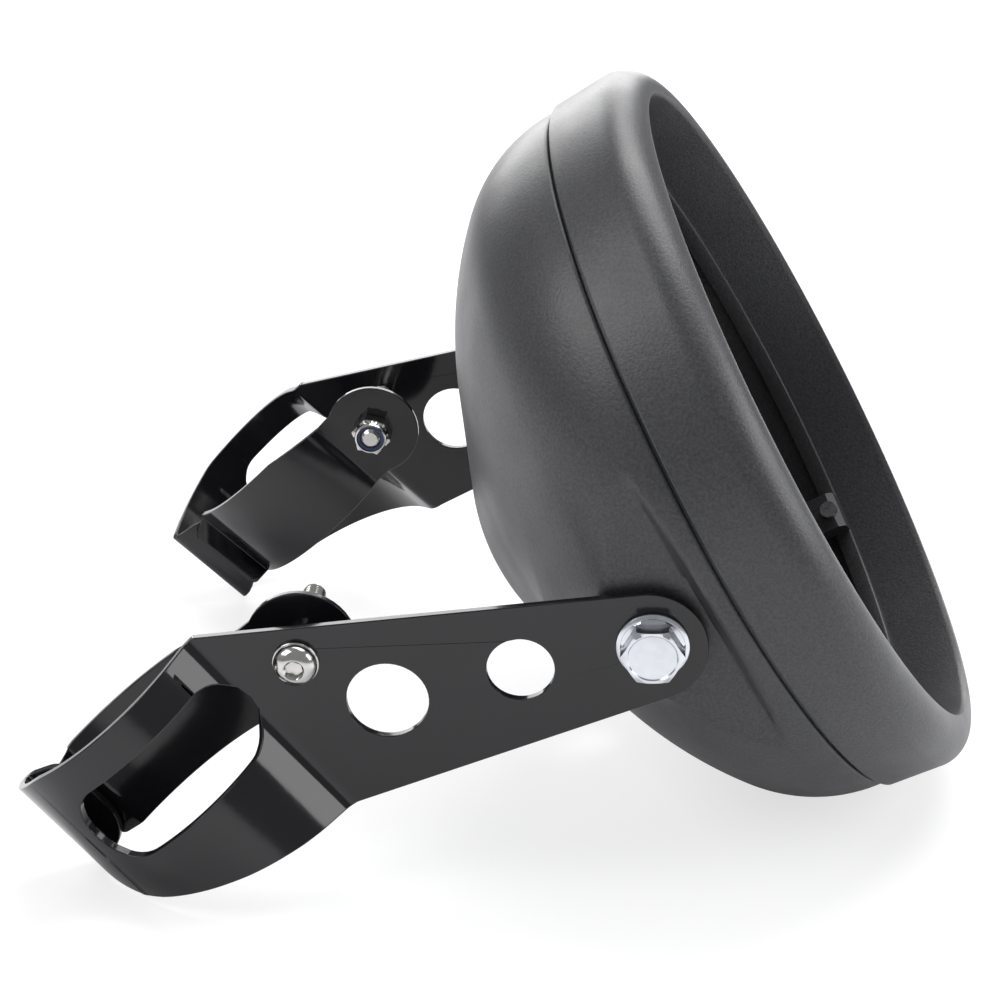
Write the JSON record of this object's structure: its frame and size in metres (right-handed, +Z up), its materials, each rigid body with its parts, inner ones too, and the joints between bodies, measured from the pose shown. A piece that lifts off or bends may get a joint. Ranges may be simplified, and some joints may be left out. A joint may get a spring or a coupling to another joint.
{
  "type": "motorcycle headlight",
  "caption": "Round headlight housing with trim ring, empty of its lamp, on two side brackets that clamp round the fork tubes.",
  "frame": {"origin": "centre of the bounding box at the floor the part rests on", "axes": "+Z up; +X to where the lamp opening faces, which is tipped 31 degrees up; +Y to the lamp's left"},
  "size_m": [0.2376, 0.226, 0.1842],
  "materials": {
    "black_shell": "matte, fine sand texture",
    "black_ring": "matte, fine sand texture",
    "black_inner": "satin",
    "black_bracket": "satin powder coat",
    "zinc": "bright zinc plate",
    "stainless": "polished stainless",
    "screw_steel": "plain",
    "black_screw": "black oxide",
    "rubber": "matte",
    "nylon": "dark blue nylon"
  },
  "bodies": {
    "housing": {"bucket": "black_shell", "trim_ring": "black_ring", "retaining_ring": "black_inner", "clip_top": "black_inner", "clip_left": "black_inner", "clip_right": "black_inner", "clip_screws": "screw_steel", "ring_screw": "black_screw", "ring_nut": "screw_steel", "cable_grommet": "rubber", "pivot_bolt_right": "zinc", "pivot_bolt_left": "zinc", "pivot_spacer_right": "rubber", "pivot_spacer_left": "rubber", "pivot_washer_right": "zinc", "pivot_washer_left": "zinc", "pivot_nut_right": "zinc", "pivot_nut_left": "zinc"},
    "bracket_right": {"bracket_right": "black_bracket", "clamp_strap_right": "black_bracket", "clamp_bolt_right": "stainless", "clamp_washer_right": "stainless", "clamp_nut_right": "stainless", "nut_insert_right": "nylon"},
    "bracket_left": {"bracket_left": "black_bracket", "clamp_strap_left": "black_bracket", "clamp_bolt_left": "stainless", "clamp_washer_left": "stainless", "clamp_nut_left": "stainless", "nut_insert_left": "nylon"}
  },
  "joints": [
    {"name": "right_tilt", "type": "hinge", "parent": "housing", "child": "bracket_right", "pos_m": [0.03572, -0.08958, 0.07032], "axis": [-0.051, 0.995, 0.0858], "range_deg": [-40, 40]},
    {"name": "left_tilt", "type": "hinge", "parent": "housing", "child": "bracket_left", "pos_m": [0.02636, 0.0929, 0.08606], "axis": [-0.051, 0.995, 0.0858], "range_deg": [-40, 40]}
  ]
}
